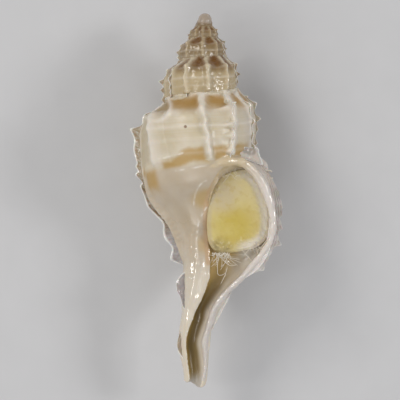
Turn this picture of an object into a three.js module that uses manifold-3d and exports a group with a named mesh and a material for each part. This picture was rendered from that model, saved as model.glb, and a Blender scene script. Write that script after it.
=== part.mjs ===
// A spindle-shaped sea snail shell lying on its back, mouth up, with its operculum in the mouth.
// Millimetres. X to the right of the mouth view, Y towards the apex, Z up out of the mouth.
import * as THREE from 'three';
import { LoftGeometry } from 'three/addons/geometries/LoftGeometry.js';
import { mergeVertices } from 'three/addons/utils/BufferGeometryUtils.js';
import Module from 'manifold-3d';

const wasm = await Module();
wasm.setup();

// Growth: n counts turns of the whorl, 0 at the start of the lip and negative towards the apex
const LIP_RADIUS = 6.64;
const RADIUS_PER_TURN = 1.587;
const LIP_DROP = 10.1;
const DROP_PER_TURN = 1.8;
const FIRST_TURN = -5.2;
const LIP_END = 0.055;
const WHORL_LEAN = 0.145;

// The last half turn is a little narrower and shorter than the growth before it
const LIP_NARROWING = 0.13;
const LIP_SHORTENING = 0.1;
const NARROWING_START = -0.45;

// Whorl outline in shares of the whorl radius: [depth below the suture, radius, lamella height]
const WHORL_OUTLINE = [
  [0, 0.54, 0.02],
  [0.1, 0.67, 0.05],
  [0.2, 0.78, 0.08],
  [0.30, 0.865, 0.13],
  [0.40, 0.915, 0.08],
  [0.54, 0.94, 0.10],
  [0.76, 0.945, 0.07],
  [1.0, 0.93, 0.08],
  [1.22, 0.90, 0.07],
  [1.42, 0.84, 0.10],
  [1.56, 0.73, 0.14],
  [1.68, 0.60, 0.17],
  [1.85, 0.47, 0.17],
  [2.05, 0.37, 0.18],
  [2.25, 0.28, 0.12],
  [2.42, 0.20, 0.02],
];
const WHORL_INSIDE = [[2.36, 0.07], [1.2, 0.10], [0.12, 0.22]];
const SPIRE_OUTLINE_POINTS = 10;
const SPIRE_INSIDE = [[1.35, 0.15], [0.12, 0.22]];
const BODY_START = -1.05;

// Lamellae, in degrees of each turn counted from the right-hand side over the front
const LAMELLAE = [
  { turn: -5, angles: [288, 324] },
  { turn: -4, angles: [0, 37, 68, 101, 129, 170, 209, 248, 288, 324] },
  { turn: -3, angles: [0, 29, 59, 97, 139, 180, 216, 252, 288, 324] },
  { turn: -2, angles: [0, 22, 52, 88, 121, 150, 180, 209, 238, 270, 299, 331] },
  { turn: -1, angles: [0, 29, 57, 90, 159, 220, 254, 291, 318, 343] },
];
const LAMELLA_HALF_WIDTH = 0.007;
const LONGEST_STEP = 0.045;

// Two soft ridges on the front, in shares of the usual lamella height
const LOW_RIDGES = [{ turn: -1 + 90 / 360, share: 0.5 }, { turn: -1 + 159 / 360, share: 0.35 }];

// On the front of the last whorl the lamellae end at the smooth base
const FRONT = [-0.97, -0.53];
const BASE_START = 1.06;
const BASE_END = 1.2;

// The large left lamella and the lip frill: [depth, radius] of the free edge for each outline row
const FLARES = [
  { turn: -1 + 186 / 360, edge: [
    [0, 0.60], [0.1, 0.72], [0.2, 0.86], [0.30, 0.95], [0.42, 1.0], [0.5, 1.13], [0.74, 1.085], [1.0, 1.045],
    [1.17, 1.055], [1.38, 0.965], [1.53, 0.905], [1.69, 0.80], [1.84, 0.64], [2.05, 0.60], [2.3, 0.49],
    [2.40, 0.32],
  ] },
  { turn: 0.022, edge: [
    [-0.03, 0.66], [0.04, 0.75], [0.16, 0.79], [0.27, 0.86], [0.38, 0.94], [0.52, 1.01], [0.72, 1.066],
    [1.0, 1.07], [1.24, 1.055], [1.42, 0.905], [1.58, 0.868], [1.64, 0.75], [1.8, 0.51], [2.0, 0.37],
    [2.24, 0.29], [2.44, 0.20],
  ] },
];

// The whorl is built in pieces that start at these turns
const PIECE_STARTS = [FIRST_TURN, -4.35, -3.52, -2.68, -1.88, BODY_START, -0.35];
const TUCK_TURN = 0.02;
const TUCK_SHARE = 0.93;

// The canal: [y, middle x, half width, middle z, half depth]
const CANAL_RINGS = [
  [-16.6, -0.4, 1.2, 0.1, 1.0],
  [-18.6, -0.46, 1.36, 0.1, 1.2],
  [-19.9, 0.0, 1.68, 0, 1.3],
  [-21.4, 0.26, 2.08, -0.05, 1.3],
  [-22.7, -0.14, 1.76, -0.1, 1.22],
  [-23.8, -0.42, 1.4, -0.15, 1.14],
  [-25.0, -0.74, 1.24, -0.2, 1.06],
  [-26.2, -0.86, 1.2, -0.3, 1.0],
  [-27.4, -0.86, 1.12, -0.4, 0.95],
  [-28.6, -0.77, 0.94, -0.5, 0.86],
  [-29.6, -0.76, 0.86, -0.58, 0.74],
  [-30.0, -0.48, 0.44, -0.6, 0.46],
];
const CANAL_SIDES = 16;

// The open slot along the canal, in the same terms
const SLOT_RINGS = [
  [-19.4, 2.1, 1.7, 1.1, 1.4],
  [-20.8, 1.7, 1.3, 1.0, 1.35],
  [-21.6, 1.2, 1.0, 0.95, 1.3],
  [-22.7, 0.5, 0.66, 0.9, 1.2],
  [-23.7, -0.09, 0.58, 0.8, 1.1],
  [-24.6, -0.34, 0.66, 0.7, 1.05],
  [-25.5, -0.66, 0.66, 0.6, 1.0],
  [-26.4, -0.84, 0.62, 0.5, 0.95],
  [-27.2, -0.75, 0.66, 0.4, 0.9],
  [-28.1, -0.66, 0.66, 0.3, 0.85],
  [-28.9, -0.62, 0.58, 0.2, 0.75],
  [-30.4, -0.8, 0.4, 0.1, 0.55],
];
const SLOT_SIDES = 12;

// The mouth: its rim, and how far it widens above and narrows below the plane the operculum lies in
const MOUTH_RIM = [
  [2.2, -12.66], [2.85, -12.5], [3.52, -12.6], [4.18, -13.28], [4.6, -14.1], [4.9, -14.95], [5.12, -15.9],
  [5.2, -16.8], [5.04, -17.8], [4.6, -18.62], [3.95, -19.6], [3.0, -20.65], [2.1, -21.4], [1.1, -21.85],
  [0.45, -21.0], [0.42, -19.6], [0.3, -18.2], [0.22, -17.0], [0.3, -15.6], [0.46, -14.68], [0.88, -13.78],
  [1.46, -13.05],
];
const MOUTH_MIDDLE = [2.6, -16.3];
const MOUTH_LEVELS = [
  [4, 1.3], [2, 1.15], [1, 1.07], [0.3, 1.02], [0, 1], [-0.4, 0.94], [-0.7, 0.8], [-0.85, 0.5],
];
const MOUTH_SIDES = 24;

// That plane: its height at the middle, and its slopes along X and Y
const MOUTH_HEIGHT = 1.66;
const MOUTH_SLOPES = [-0.1, 0.17];

// The thickened lip round the mouth and down the canal: [x, y, z, radius]
const LIP_BAND = [
  [0.1, -12.4, 3.95, 0.12], [0.82, -12.14, 3.92, 0.2], [1.54, -11.94, 3.8, 0.30],
  [2.18, -11.9, 3.5, 0.33], [2.82, -11.96, 3.2, 0.35], [3.46, -12.3, 2.85, 0.37],
  [4.16, -13.04, 2.55, 0.38], [4.7, -13.92, 2.35, 0.37], [5.08, -14.86, 2.17, 0.35],
  [5.32, -15.82, 2.05, 0.32], [5.44, -16.76, 1.95, 0.28], [5.38, -17.6, 1.85, 0.26],
  [5.12, -18.4, 1.72, 0.26], [4.58, -19.22, 1.5, 0.26], [3.92, -20.0, 1.3, 0.26],
  [3.2, -20.9, 1.1, 0.26], [2.4, -21.7, 0.96, 0.25], [1.4, -22.72, 0.8, 0.24],
  [0.7, -23.76, 0.7, 0.23], [0.44, -24.74, 0.5, 0.21], [0.1, -25.78, 0.46, 0.2],
  [0.0, -26.6, 0.36, 0.2], [0.06, -27.2, 0.23, 0.18], [0.08, -27.8, 0.11, 0.16],
  [0.07, -28.3, 0.01, 0.14], [0.02, -28.74, -0.04, 0.13], [-0.12, -29.3, -0.07, 0.12],
];
const LIP_BAND_SIDES = 8;

// Between the suture and the lip band the shoulder runs on past the lip: [turn, depth it reaches]
const SHOULDER = [[0.045, 0.45], [0.075, 0.32], [0.1, 0.19], [0.128, 0.12], [0.15, 0.09]];
const SHOULDER_POINTS = 5;
const SHOULDER_INSIDE = 0.3;

// The operculum: an oval plate, domed a little, with a thin edge; its levels are above the same plane
const OPERCULUM_RIM = [
  [2.18, -12.8], [2.82, -12.64], [3.44, -12.72], [4.06, -13.4], [4.46, -14.2], [4.76, -14.98],
  [4.98, -15.94], [5.0, -16.74], [4.82, -17.46], [4.42, -18.1], [3.78, -18.58], [3.06, -18.9],
  [2.26, -19.06], [1.46, -19.18], [0.82, -18.92], [0.5, -18.18], [0.4, -16.98], [0.45, -15.62],
  [0.62, -14.74], [1.02, -13.88], [1.56, -13.18],
];
const OPERCULUM_SIDES = 24;
const OPERCULUM_LEVELS = [[-0.35, 0.88], [-0.1, 0.985], [0.08, 0.965], [0.22, 0.82], [0.33, 0.5]];

// Blades left on the pillar by earlier lips: outline in X and Y, middle height and turn about Y
const PILLAR_BLADES = [
  { outline: [[-1.5, -20.8], [-2.35, -21.35], [-2.4, -22.1], [-2.1, -22.7], [-1.7, -23.7], [-1.2, -23.7]],
    z: -0.1, turn: 0.35 },
  { outline: [[-1.5, -24.3], [-1.95, -24.4], [-1.98, -25.2], [-2.3, -26.3], [-2.25, -27.0], [-1.85, -27.6],
    [-1.4, -27.7]], z: -0.35, turn: 0.25 },
];
const BLADE_THICKNESS = 0.34;

// A solid heart along the coil axis, [radius, y]
const HEART = [[0, -0.5], [0.25, -0.8], [1.6, -5.6], [2.2, -9.0], [1.9, -12.5], [1.4, -15.0],
  [0.95, -18.0], [0.8, -22.0], [0, -22.0]];
const HEART_SIDES = 16;

const BULB_RADIUS = 0.6;
const BULB_Y = -0.6;
const TRIM = 0.32;

const radiusAt = n => LIP_RADIUS * RADIUS_PER_TURN ** n;
const dropAt = n => LIP_DROP * DROP_PER_TURN ** n;

function smoothStep(low, high, value) {
  return THREE.MathUtils.smoothstep(value, low, high);
}

function solidOf(shape) {
  const geometry = new THREE.BufferGeometry().copy(shape);
  geometry.deleteAttribute('normal');
  geometry.deleteAttribute('uv');
  const merged = mergeVertices(geometry, 1e-5);
  const vertProperties = merged.attributes.position.array;
  const corners = merged.index.array;
  const triVerts = [];
  for (let i = 0; i < corners.length; i += 3) {
    const [a, b, c] = corners.slice(i, i + 3);
    if (a !== b && b !== c && c !== a) triVerts.push(a, b, c);
  }
  const mesh = new wasm.Mesh({ numProp: 3, vertProperties, triVerts: Uint32Array.from(triVerts) });
  return new wasm.Manifold(mesh);
}

function geometryOf(solid) {
  const mesh = solid.getMesh();
  const geometry = new THREE.BufferGeometry();
  geometry.setAttribute('position', new THREE.BufferAttribute(mesh.vertProperties, 3));
  geometry.setIndex(new THREE.BufferAttribute(mesh.triVerts, 1));
  return geometry;
}

function loft(sections) {
  return solidOf(new LoftGeometry(sections, { capStart: true, capEnd: true }));
}

// One section through the whorl: at turn n, with its lamella raised by lift or drawn out to an edge
function whorlSection({ n, lift, edge }, body) {
  const outline = body ? WHORL_OUTLINE : WHORL_OUTLINE.slice(0, SPIRE_OUTLINE_POINTS);
  const inside = body ? WHORL_INSIDE : SPIRE_INSIDE;
  const late = smoothStep(NARROWING_START, 0, n);
  const narrowing = 1 - LIP_NARROWING * late;
  const shortening = 1 - LIP_SHORTENING * late;
  const front = n > FRONT[0] && n < FRONT[1];
  const flat = outline.map(([depth, radius, height], i) => {
    if (edge) return [edge[i][0] * shortening, edge[i][1] * narrowing];
    const [depthA, radiusA] = outline[Math.max(i - 1, 0)];
    const [depthB, radiusB] = outline[Math.min(i + 1, outline.length - 1)];
    const along = new THREE.Vector2(radiusB - radiusA, depthB - depthA).normalize();
    const raised = lift * height * (front ? 1 - smoothStep(BASE_START, BASE_END, depth) : 1);
    return [depth * shortening - along.x * raised, radius * narrowing + along.y * raised];
  });
  const size = radiusAt(n);
  const angle = n * 2 * Math.PI;
  const points = [...flat, ...inside].map(([depth, radius]) => {
    const across = Math.cos(angle) * radius * size;
    const y = -dropAt(n) - depth * size - WHORL_LEAN * across;
    const bend = -0.6 * smoothStep(17, 25, -y);
    return new THREE.Vector3(across + bend, y, Math.sin(angle) * radius * size);
  });
  return points.reverse();
}

function liftAt(n) {
  const low = LOW_RIDGES.find(({ turn }) => Math.abs(turn - n) < 1e-6);
  return low ? low.share : 1;
}

// The middle section of every lamella, from the apex to the lip
function lamellae() {
  const plain = LAMELLAE.flatMap(({ turn, angles }) => angles.map(angle => turn + angle / 360));
  const middles = plain.map(n => ({ n, lift: liftAt(n) }));
  const flared = FLARES.map(({ turn, edge }) => ({ n: turn, lift: 1, edge }));
  return [...middles, ...flared].sort((a, b) => a.n - b.n);
}

// All sections of the whorl
function stations() {
  const list = [{ n: FIRST_TURN, lift: 0 }];
  for (const middle of lamellae()) {
    fillStations(list, middle.n - LAMELLA_HALF_WIDTH);
    list.push({ n: middle.n - LAMELLA_HALF_WIDTH, lift: 0 });
    list.push(middle);
    list.push({ n: middle.n + LAMELLA_HALF_WIDTH, lift: 0 });
  }
  list.push({ n: LIP_END, lift: 0 });
  return list;
}

function fillStations(list, end) {
  const start = list[list.length - 1].n;
  const steps = Math.ceil((end - start) / LONGEST_STEP);
  for (let i = 1; i < steps; i++) list.push({ n: start + (end - start) * i / steps, lift: 0 });
}

// The whorls, in pieces of less than one turn, each with its end tucked inside the next
function whorls() {
  const all = stations();
  const cuts = [...PIECE_STARTS, LIP_END].map(cut => all.findIndex(({ n }) => n >= cut - 1e-6));
  let joined = null;
  for (let i = 0; i + 1 < cuts.length; i++) {
    const body = PIECE_STARTS[i] >= BODY_START;
    const sections = all.slice(cuts[i], cuts[i + 1] + 1).map(station => whorlSection(station, body));
    const beyond = { n: all[cuts[i + 1]].n + TUCK_TURN, lift: 0 };
    if (i + 2 < cuts.length) sections.push(tucked(whorlSection(beyond, body)));
    const piece = loft(sections);
    joined = joined ? joined.add(piece) : piece;
  }
  return joined;
}

// A section drawn in towards its middle
function tucked(section) {
  const middle = section.reduce((sum, point) => sum.add(point), new THREE.Vector3());
  middle.divideScalar(section.length);
  return section.map(point => middle.clone().lerp(point, TUCK_SHARE));
}

function ringSections(rings, sides) {
  return rings.map(([y, x, halfWidth, z, halfDepth]) => {
    const points = [];
    for (let i = 0; i < sides; i++) {
      const a = i / sides * 2 * Math.PI;
      points.push(new THREE.Vector3(x + halfWidth * Math.cos(a), y, z + halfDepth * Math.sin(a)));
    }
    return points;
  });
}

// A smooth closed rim at each level over the mouth's plane, drawn in towards the middle
function levelSections(rim, levels, sides) {
  const [middleX, middleY] = MOUTH_MIDDLE;
  const [slopeX, slopeY] = MOUTH_SLOPES;
  const curve = new THREE.CatmullRomCurve3(rim.map(([x, y]) => new THREE.Vector3(x, y, 0)), true);
  const flat = curve.getSpacedPoints(sides).slice(0, sides).reverse();
  return levels.map(([level, scale]) => flat.map(point => {
    const across = (point.x - middleX) * scale;
    const along = (point.y - middleY) * scale;
    const z = MOUTH_HEIGHT + slopeX * across + slopeY * along + level;
    return new THREE.Vector3(middleX + across, middleY + along, z);
  }));
}

// Rings round the path of the lip band
function bandSections() {
  const path = LIP_BAND.map(([x, y, z]) => new THREE.Vector3(x, y, z));
  return path.map((middle, i) => {
    const before = path[Math.max(i - 1, 0)];
    const ahead = path[Math.min(i + 1, path.length - 1)].clone().sub(before).normalize();
    const across = new THREE.Vector3(0, 0, 1).cross(ahead).normalize();
    const up = ahead.clone().cross(across);
    const ring = [];
    for (let k = 0; k < LIP_BAND_SIDES; k++) {
      const a = k / LIP_BAND_SIDES * 2 * Math.PI;
      const point = middle.clone().addScaledVector(across, LIP_BAND[i][3] * Math.cos(a));
      ring.push(point.addScaledVector(up, LIP_BAND[i][3] * Math.sin(a)));
    }
    return ring;
  });
}

// The shoulder's sections: its outline down to the depth it reaches, then straight in towards the axis
function shoulderSections() {
  return SHOULDER.map(([n, reach]) => {
    const size = radiusAt(n);
    const points = [];
    for (let i = 0; i < SHOULDER_POINTS; i++) points.push(shoulderPoint(reach * i / (SHOULDER_POINTS - 1)));
    points.push([reach, SHOULDER_INSIDE], [0.02, SHOULDER_INSIDE]);
    return points.map(([depth, radius]) => {
      const across = Math.cos(n * 2 * Math.PI) * radius * (1 - LIP_NARROWING) * size;
      const y = -dropAt(n) - depth * (1 - LIP_SHORTENING) * size - WHORL_LEAN * across;
      return new THREE.Vector3(across, y, Math.sin(n * 2 * Math.PI) * radius * (1 - LIP_NARROWING) * size);
    }).reverse();
  });
}

// Depth and radius of the whorl outline at a depth
function shoulderPoint(depth) {
  const i = WHORL_OUTLINE.findIndex(([next]) => next >= depth - 1e-9);
  if (i === 0) return [depth, WHORL_OUTLINE[0][1]];
  const [depthA, radiusA] = WHORL_OUTLINE[i - 1];
  const [depthB, radiusB] = WHORL_OUTLINE[i];
  return [depth, THREE.MathUtils.mapLinear(depth, depthA, depthB, radiusA, radiusB)];
}

function heart() {
  const profile = HEART.map(([radius, y]) => new THREE.Vector2(radius, y));
  return solidOf(new THREE.LatheGeometry(profile.reverse(), HEART_SIDES));
}

function bulb() {
  const geometry = new THREE.SphereGeometry(BULB_RADIUS, 16, 10);
  geometry.translate(0, BULB_Y, 0);
  return solidOf(geometry);
}

function pillarBlade({ outline, z, turn }) {
  const shape = new THREE.Shape(outline.map(([x, y]) => new THREE.Vector2(x, y)));
  const geometry = new THREE.ExtrudeGeometry(shape, { depth: BLADE_THICKNESS, bevelEnabled: false });
  geometry.translate(0, 0, z - BLADE_THICKNESS / 2);
  geometry.rotateY(turn);
  return solidOf(geometry);
}

function mouthCut() {
  const levels = [...MOUTH_LEVELS].reverse();
  return loft(levelSections(MOUTH_RIM, levels, MOUTH_SIDES));
}

function shellSolid() {
  let solid = whorls().add(heart()).add(bulb()).add(loft(ringSections(CANAL_RINGS, CANAL_SIDES)));
  for (const blade of PILLAR_BLADES) solid = solid.add(pillarBlade(blade));
  solid = solid.add(loft(shoulderSections()));
  solid = solid.subtract(mouthCut()).subtract(loft(ringSections(SLOT_RINGS, SLOT_SIDES)));
  solid = solid.add(loft(bandSections()));
  return outerSkin(solid.subtract(ground(solid.boundingBox().min[2] + TRIM)));
}

// Everything below the surface the shell rests on, where its lamella edges are worn flat
function ground(top) {
  const geometry = new THREE.BoxGeometry(30, 80, 4);
  geometry.translate(0, 0, top - 2);
  return solidOf(geometry);
}

// The joined solid without the pockets shut in between its whorls
function outerSkin(solid) {
  return solid.decompose().reduce((best, piece) => (piece.volume() > best.volume() ? piece : best));
}

function operculumSolid() {
  return loft(levelSections(OPERCULUM_RIM, OPERCULUM_LEVELS, OPERCULUM_SIDES));
}

function namedMesh(name, solid, color, roughness) {
  const material = new THREE.MeshStandardMaterial({ color, roughness, metalness: 0 });
  const mesh = new THREE.Mesh(geometryOf(solid), material);
  mesh.name = name;
  return mesh;
}

const shell = namedMesh('shell', shellSolid(), 0xd6cdba, 0.45);
const operculum = namedMesh('operculum', operculumSolid(), 0xc4b464, 0.5);

const box = new THREE.Box3().setFromObject(shell);
const model = new THREE.Group();
model.add(shell, operculum);
model.position.set(-(box.min.x + box.max.x) / 2, -(box.min.y + box.max.y) / 2, -box.min.z);

export default model;
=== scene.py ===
import math

import bmesh
import bpy
import numpy as np
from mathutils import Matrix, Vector
from mathutils.bvhtree import BVHTree


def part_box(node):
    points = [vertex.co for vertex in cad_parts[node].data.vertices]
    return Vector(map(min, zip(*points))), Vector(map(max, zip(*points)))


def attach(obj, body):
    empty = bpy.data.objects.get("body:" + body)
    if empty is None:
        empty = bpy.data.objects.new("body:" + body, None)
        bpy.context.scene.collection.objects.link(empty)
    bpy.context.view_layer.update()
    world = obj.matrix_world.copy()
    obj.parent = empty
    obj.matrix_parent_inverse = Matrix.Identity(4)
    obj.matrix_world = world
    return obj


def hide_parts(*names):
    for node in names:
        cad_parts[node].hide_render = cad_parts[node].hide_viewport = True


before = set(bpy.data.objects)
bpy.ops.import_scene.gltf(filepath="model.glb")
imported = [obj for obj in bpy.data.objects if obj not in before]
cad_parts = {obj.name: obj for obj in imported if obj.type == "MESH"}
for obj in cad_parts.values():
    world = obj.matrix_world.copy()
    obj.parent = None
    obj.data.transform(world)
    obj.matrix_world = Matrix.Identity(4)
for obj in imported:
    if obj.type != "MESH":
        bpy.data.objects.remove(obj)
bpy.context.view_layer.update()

mm = 0.001
circle = 2 * math.pi

# where the coil axis and the apex are in the row frame, in mm
place = {
    "axisX": -0.107,
    "apexY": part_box("shell")[1].y / mm,
    "axisZ": 5.284,
}

# how the whorl grows: n counts turns, 0 at the lip and negative towards the apex
growth = {
    "lipRadius": 6.64,
    "radiusPerTurn": 1.587,
    "lipDrop": 10.1,
    "dropPerTurn": 1.8,
    "lean": 0.145,
    "firstTurn": -5.2,
    "bodyStart": -1.05,
    "lipEnd": 0.055,
    "lipNarrowing": 0.13,
    "lipShortening": 0.1,
    "narrowingStart": -0.45,
    "bend": 0.6,
    "bendFrom": 17,
    "bendTo": 25,
}


def smooth(low, high, value):  # a soft step from 0 at low to 1 at high, which may be the smaller one
    t = np.clip((value - low) / (high - low), 0, 1)
    return t * t * (3 - 2 * t)


def bell(value, width):  # 1 at zero, fading on both sides
    return np.exp(-(value / width) ** 2)


def radiusAt(n):
    return growth["lipRadius"] * growth["radiusPerTurn"] ** n


def dropAt(n):
    return growth["lipDrop"] * growth["dropPerTurn"] ** n


def lateShape(n):  # how much shorter and narrower the outline is at turn n
    late = smooth(growth["narrowingStart"], 0, n)
    return 1 - growth["lipShortening"] * late, 1 - growth["lipNarrowing"] * late


def axisBend(y):
    return -growth["bend"] * smooth(growth["bendFrom"], growth["bendTo"], -y)


def spline(points, count, closed=False):  # a smooth curve through points, sampled evenly between them
    points = np.asarray(points, float)
    if closed:
        padded = np.vstack([points[-1:], points, points[:2]])
    else:
        padded = np.vstack([2 * points[0] - points[1], points, 2 * points[-1] - points[-2]])
    spans = len(padded) - 3
    u = np.linspace(0, spans, count, endpoint=not closed)
    i = np.minimum(u.astype(int), spans - 1)
    t = (u - i)[:, None]
    a, b, c, d = padded[i], padded[i + 1], padded[i + 2], padded[i + 3]
    return 0.5 * (2 * b + (c - a) * t + (2 * a - 5 * b + 4 * c - d) * t ** 2
                  + (3 * b - a - 3 * c + d) * t ** 3)


def byLength(points, count):  # the same line with its points at even distances
    steps = np.linalg.norm(np.diff(points[:, :2], axis=0), axis=1)
    run = np.concatenate([[0], np.cumsum(steps)])
    even = np.linspace(0, run[-1], count)
    return np.column_stack([np.interp(even, run, points[:, k]) for k in range(points.shape[1])])


def around(sides):
    return np.linspace(0, circle, sides, endpoint=False)


def toRow(points):
    return (points + np.array(list(place.values()))) * mm


def fromRow(points):
    return points / mm - np.array(list(place.values()))


def addObject(name, data):
    made = bpy.data.objects.new(name, data)
    bpy.context.scene.collection.objects.link(made)
    return made


def meshPiece(name, points, faces):
    mesh = bpy.data.meshes.new(name)
    mesh.from_pydata(points.tolist(), [], faces)
    work = bmesh.new()
    work.from_mesh(mesh)
    if work.calc_volume(signed=True) < 0:
        bmesh.ops.reverse_faces(work, faces=work.faces)
    work.to_mesh(mesh)
    work.free()
    return addObject(name, mesh)


def loftFaces(count, sides, base):  # rows of closed rings, capped at both ends
    i, j = np.meshgrid(np.arange(count - 1) * sides, np.arange(sides), indexing="ij")
    k = (j + 1) % sides
    quads = np.stack([i + j, i + k, i + sides + k, i + sides + j], -1)
    caps = [range(sides - 1, -1, -1), range((count - 1) * sides, count * sides)]
    return (quads.reshape(-1, 4) + base).tolist() + [[base + v for v in cap] for cap in caps]


def lofts(name, parts, extras=()):  # one piece from several lofts, with named values on their points
    points, faces, base = [], [], 0
    for part in parts:
        rows = part["rows"]
        points.append(toRow(rows.reshape(-1, 3)))
        faces += loftFaces(rows.shape[0], rows.shape[1], base)
        base += rows.shape[0] * rows.shape[1]
    piece = meshPiece(name, np.vstack(points), faces)
    for extra in extras:
        setValues(piece, extra, np.concatenate([
            np.broadcast_to(part[extra], part["rows"].shape[:2]).ravel() for part in parts]))
    return piece


def loft(name, rows):
    return lofts(name, [{"rows": rows}])


def setValues(piece, name, values):
    layer = piece.data.attributes.new(name, "FLOAT", "POINT")
    layer.data.foreach_set("value", np.asarray(values, np.float32))


def readFrom(items, name):
    flat = np.zeros(len(items) * 3)
    items.foreach_get(name, flat)
    return flat.reshape(-1, 3)


def bake(piece):  # applies the modifiers
    seen = bpy.context.evaluated_depsgraph_get()
    fresh = bpy.data.meshes.new_from_object(piece.evaluated_get(seen))
    old = piece.data
    piece.modifiers.clear()
    piece.data = fresh
    bpy.data.meshes.remove(old)


def joinAll(base, others, operation):
    for other in others:
        change = base.modifiers.new("join", "BOOLEAN")
        change.operation = operation
        change.solver = "MANIFOLD"
        change.object = other
        bake(base)
        bpy.data.objects.remove(other)
    return base


def tube(path, sides):  # path rows: x, y, z, radius
    spots, radii = path[:, :3], path[:, 3]
    ahead = np.gradient(spots, axis=0)
    ahead /= np.linalg.norm(ahead, axis=1)[:, None]
    across = np.cross(ahead, [0.02, 0.01, 1])
    across /= np.linalg.norm(across, axis=1)[:, None]
    up = np.cross(across, ahead)
    a = around(sides)[:, None]
    fromStart = np.arange(len(path))
    ends = np.sqrt(np.clip(np.minimum(fromStart, fromStart[::-1]) / 2, 0.08, 1))
    return np.array([spot + (across[i] * np.cos(a) + up[i] * np.sin(a)) * radii[i] * ends[i]
                     for i, spot in enumerate(spots)])


def distanceTo(points, line):  # nearest distance from points to a line, and how far along it
    best = np.full(len(points), 1e9)
    along = np.zeros(len(points))
    for i in range(len(line) - 1):
        a, b = line[i], line[i + 1]
        share = np.clip((points - a) @ (b - a) / ((b - a) @ (b - a)), 0, 1)
        gap = np.linalg.norm(points - a - share[:, None] * (b - a), axis=1)
        near = gap < best
        best[near] = gap[near]
        along[near] = (i + share[near]) / (len(line) - 1)
    return best, along


def lineGap(p, path, count=40):  # distance from points to a line in the mouth view
    return distanceTo(p[:, :2], spline(path, count)[:, :2])[0]


def lineBell(p, paths, width):
    return np.max([bell(lineGap(p, path), width) for path in paths], axis=0)


def insideOf(points, rim):  # which flat points are inside a closed rim
    x, y = points[:, 0], points[:, 1]
    odd = np.zeros(len(points), bool)
    for (ax, ay), (bx, by) in zip(rim, np.roll(rim, -1, axis=0)):
        crosses = (ay > y) != (by > y)
        odd ^= crosses & (x < (bx - ax) * (y - ay) / (by - ay + 1e-12) + ax)
    return odd


def ripple(points, length, seed):  # smooth random waves of about the given length, -1 to 1
    rng = np.random.default_rng(seed)
    total = np.zeros(len(points))
    for _ in range(12):
        way = rng.normal(size=3)
        way *= circle / length / np.linalg.norm(way)
        total += np.sin(points @ way + rng.uniform(0, circle))
    return total / 4


# whorl outline rows: depth below the suture, radius, lamella height, in whorl radii
whorl = {
    "outline": np.array([[0, 0.54, 0.02], [0.1, 0.67, 0.05], [0.2, 0.78, 0.08], [0.3, 0.865, 0.13],
        [0.4, 0.915, 0.08], [0.54, 0.94, 0.1], [0.76, 0.945, 0.07], [1, 0.93, 0.08], [1.22, 0.9, 0.07],
        [1.42, 0.84, 0.1], [1.56, 0.73, 0.14], [1.68, 0.6, 0.17], [1.85, 0.47, 0.17], [2.05, 0.37, 0.18],
        [2.25, 0.28, 0.12], [2.42, 0.2, 0.02]]),
    "bodyInside": [[2.36, 0.07], [1.2, 0.1], [0.12, 0.22]],
    "spireInside": [[1.35, 0.15], [0.12, 0.22]],
    "spirePoints": 10,
    "starts": [-5.2, -4.35, -3.52, -2.68, -1.88, -1.05, -0.35],
    "tuck": 0.012,
    "step": 0.006,
}


def outlineOf(body):
    return whorl["outline"][:None if body else whorl["spirePoints"]]


def outlineAt(n, curve):  # the outline at turn n, narrowed towards the lip, and its outward normal
    flat = curve[:, :2] * lateShape(n)
    along = np.gradient(curve[:, :2], axis=0)
    along /= np.linalg.norm(along, axis=1)[:, None]
    return flat, np.column_stack([-along[:, 1], along[:, 0]])


def onWhorl(n, flat):  # points of the whorl at turn n from rows of depth and radius
    across = np.cos(n * circle) * flat[..., 1] * radiusAt(n)
    y = -dropAt(n) - flat[..., 0] * radiusAt(n) - growth["lean"] * across
    return np.stack([across + axisBend(y), y, np.sin(n * circle) * flat[..., 1] * radiusAt(n)], -1)


def whorlRows(turns, body):
    shape = outlineOf(body)
    inside = whorl["bodyInside"] if body else whorl["spireInside"]
    curve = spline(shape, 70 if body else 44)
    inner = spline(np.vstack([shape[-1:, :2], inside, shape[:1, :2]]), 14)[1:-1]
    return np.array([onWhorl(n, np.vstack([outlineAt(n, curve)[0], inner])) for n in turns])


def drawnIn(row, share):
    middle = row.mean(axis=0)
    return middle + (row - middle) * share


def whorlPieces():
    pieces = []
    for start, end in zip(whorl["starts"], whorl["starts"][1:] + [growth["lipEnd"]]):
        body = start >= growth["bodyStart"]
        rows = whorlRows(np.linspace(start, end, int((end - start) / whorl["step"]) + 2), body)
        if end == growth["lipEnd"]:
            for back, share in ((1, 0.955), (2, 0.985)):  # the lip's edge is rounded
                rows[-back] = drawnIn(rows[-back], share)
        else:
            rows = np.vstack([rows, drawnIn(whorlRows([end + whorl["tuck"]], body)[0], 0.93)[None]])
        pieces.append(loft("whorl", rows))
    return pieces


# the smooth first turn at the apex, made of balls on a small spiral
protoconch = {
    "turns": [-6.05, -5.1],
    "coil": [0.02, 0.36],
    "ball": [0.55, 0.36],
    "y": [-0.56, -1.12],
    "count": 13,
}


def ballRows(centre, radius):
    a = around(26)
    t = np.linspace(0.05, math.pi - 0.05, 15)[:, None]
    unit = np.stack([np.sin(t) * np.cos(a), np.cos(t) * np.ones(len(a)), np.sin(t) * np.sin(a)], -1)
    return centre + radius * unit


def protoconchPiece():
    balls = []
    for u in np.linspace(0, 1, protoconch["count"]):
        n, coil, ball = (np.interp(u, [0, 1], protoconch[key]) for key in ("turns", "coil", "ball"))
        y = np.interp(u ** 1.2, [0, 1], protoconch["y"])
        centre = [math.cos(n * circle) * coil, y, math.sin(n * circle) * coil]
        balls.append(loft("ball", ballRows(centre, ball)))
    return joinAll(balls[0], balls[1:], "UNION")


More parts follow.
